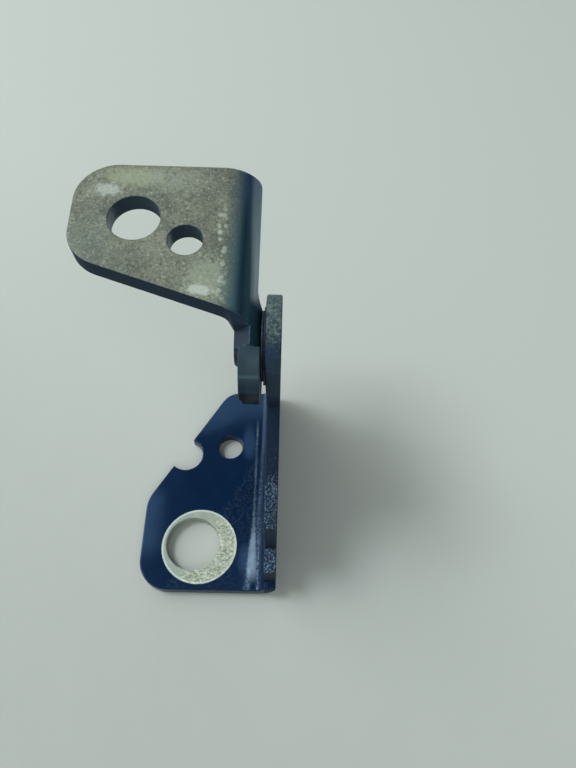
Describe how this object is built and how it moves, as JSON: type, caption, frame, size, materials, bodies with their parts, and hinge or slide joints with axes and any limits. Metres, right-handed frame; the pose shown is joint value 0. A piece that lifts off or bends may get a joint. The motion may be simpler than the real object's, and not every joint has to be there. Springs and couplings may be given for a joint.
{
  "type": "car door hinge",
  "caption": "Bent steel door hinge: an upright eared leaf bolts to the body, and an angled leaf bolts to the door and swings on a headed pin",
  "frame": {"origin": "centre of the body leaf's large bolt hole, on the flat mounting face underneath", "axes": "+X runs along the hinge pin towards the body leaf's ear, +Y runs across the pin towards the far end of both leaves, +Z stands square to the body leaf's plate, away from its mounting face"},
  "size_m": [0.055, 0.0887, 0.1025],
  "materials": {
    "navy_paint": "glossy navy paint with worn edges",
    "dull_zinc": "stained grey zinc, dark blue on the bend",
    "dark_pin": "dark satin paint",
    "worn_bush": "dull and grimy",
    "washer_steel": "dull and grimy"
  },
  "bodies": {
    "body_side": {"body_leaf": "navy_paint", "hinge_pin": "dark_pin", "thrust_washer": "washer_steel"},
    "door_side": {"door_leaf": "dull_zinc", "ear_bush": "worn_bush"}
  },
  "joints": [
    {"name": "door_swing", "type": "hinge", "parent": "body_side", "child": "door_side", "pos_m": [0.0206, 0.03, 0.081], "axis": [1, 0, 0], "range_deg": [-7, 63]}
  ]
}
